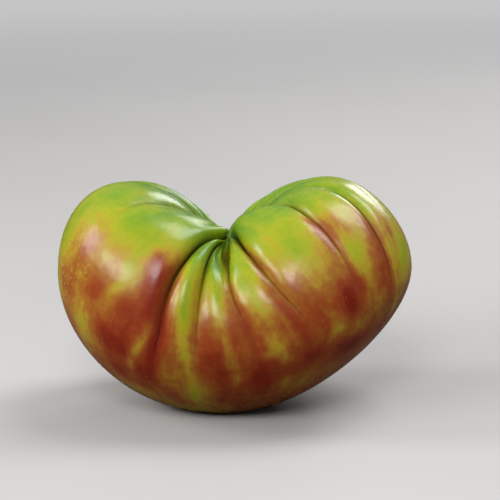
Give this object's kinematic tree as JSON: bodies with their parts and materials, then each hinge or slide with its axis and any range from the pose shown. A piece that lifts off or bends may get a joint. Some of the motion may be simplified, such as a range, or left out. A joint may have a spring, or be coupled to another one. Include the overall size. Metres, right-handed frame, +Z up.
{
  "type": "tomato",
  "caption": "Ribbed heirloom tomato: two raised lobes with a deep cleft between them, ribs fanning out of the stem cavity, and a small flat spot to rest on.",
  "frame": {"origin": "on the resting plane, under the middle of the bounding box", "axes": "+Z up from the flat spot, +X towards the larger lobe, -Y towards the side where the ribs fan out of the cleft"},
  "size_m": [0.1092, 0.0756, 0.0709],
  "materials": {
    "skin": "smooth waxy fruit skin, green at the shoulders and streaked with dark red"
  },
  "bodies": {
    "root": {"tomato": "skin"}
  },
  "joints": []
}
